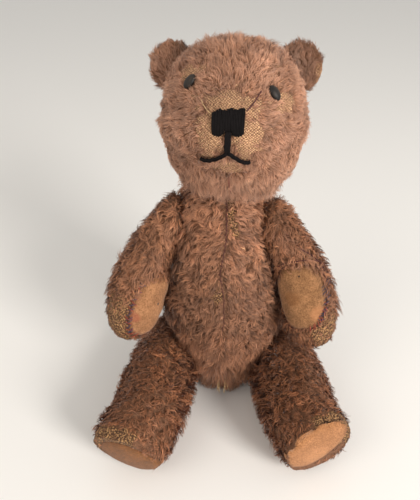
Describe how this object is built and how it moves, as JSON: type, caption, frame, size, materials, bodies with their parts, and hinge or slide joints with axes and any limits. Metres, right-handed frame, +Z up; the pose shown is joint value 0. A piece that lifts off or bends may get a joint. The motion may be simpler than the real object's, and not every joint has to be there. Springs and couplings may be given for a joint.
{
  "type": "teddy bear",
  "caption": "Seated old jointed teddy bear with a worn, matted pile cover, stitched nose and mouth, round ears and felt paw and foot pads; its head, arms and legs turn on disc joints.",
  "frame": {"origin": "on the table, under the middle of the bear's bounding box", "axes": "+Z up, the bear faces -Y, +X is to the bear's left"},
  "size_m": [0.1946, 0.1916, 0.2968],
  "materials": {
    "mohair": "worn, matted pile",
    "wood_wool": "loose shavings",
    "felt": "worn, stained",
    "black_thread": "dull satin stitch",
    "boot_button": "dull black lacquer",
    "hardboard": "plain",
    "steel": "dull"
  },
  "bodies": {
    "body": {"body_cover": "mohair", "body_stuffing": "wood_wool", "neck_disc_in_body": "hardboard", "neck_washer_in_body": "steel", "left_shoulder_disc_in_body": "hardboard", "left_shoulder_washer_in_body": "steel", "right_shoulder_disc_in_body": "hardboard", "right_shoulder_washer_in_body": "steel", "left_hip_disc_in_body": "hardboard", "left_hip_washer_in_body": "steel", "right_hip_disc_in_body": "hardboard", "right_hip_washer_in_body": "steel"},
    "head": {"head_cover": "mohair", "head_stuffing": "wood_wool", "left_ear": "mohair", "right_ear": "mohair", "left_eye": "boot_button", "right_eye": "boot_button", "nose_stitching": "black_thread", "mouth_stem_stitch": "black_thread", "mouth_left_stitch": "black_thread", "mouth_right_stitch": "black_thread", "neck_disc_in_head": "hardboard", "neck_washer_in_head": "steel", "neck_split_pin": "steel"},
    "left_arm": {"left_arm_cover": "mohair", "left_arm_stuffing": "wood_wool", "left_paw_pad": "felt", "left_shoulder_disc_in_arm": "hardboard", "left_shoulder_washer_in_arm": "steel", "left_shoulder_split_pin": "steel"},
    "left_leg": {"left_leg_cover": "mohair", "left_leg_stuffing": "wood_wool", "left_foot_pad": "felt", "left_hip_disc_in_leg": "hardboard", "left_hip_washer_in_leg": "steel", "left_hip_split_pin": "steel"},
    "right_arm": {"right_arm_cover": "mohair", "right_arm_stuffing": "wood_wool", "right_paw_pad": "felt", "right_shoulder_disc_in_arm": "hardboard", "right_shoulder_washer_in_arm": "steel", "right_shoulder_split_pin": "steel"},
    "right_leg": {"right_leg_cover": "mohair", "right_leg_stuffing": "wood_wool", "right_foot_pad": "felt", "right_hip_disc_in_leg": "hardboard", "right_hip_washer_in_leg": "steel", "right_hip_split_pin": "steel"}
  },
  "joints": [
    {"name": "neck", "type": "hinge", "parent": "body", "child": "head", "pos_m": [0.00487, 0.05198, 0.18711], "axis": [0, 0.1736, 0.9848], "continuous": true},
    {"name": "left_shoulder", "type": "hinge", "parent": "body", "child": "left_arm", "pos_m": [0.03587, 0.03721, 0.15519], "axis": [0.9118, -0.2848, 0.2959], "range_deg": [-105, 120]},
    {"name": "right_shoulder", "type": "hinge", "parent": "body", "child": "right_arm", "pos_m": [-0.03163, 0.04132, 0.15548], "axis": [0.9513, 0.1202, -0.284], "range_deg": [-105, 120]},
    {"name": "left_hip", "type": "hinge", "parent": "body", "child": "left_leg", "pos_m": [0.03387, 0.02909, 0.03427], "axis": [0.9474, 0.028, -0.3187], "range_deg": [-15, 80]},
    {"name": "right_hip", "type": "hinge", "parent": "body", "child": "right_leg", "pos_m": [-0.02513, 0.02909, 0.03427], "axis": [0.9418, -0.0767, 0.3273], "range_deg": [-15, 80]}
  ]
}
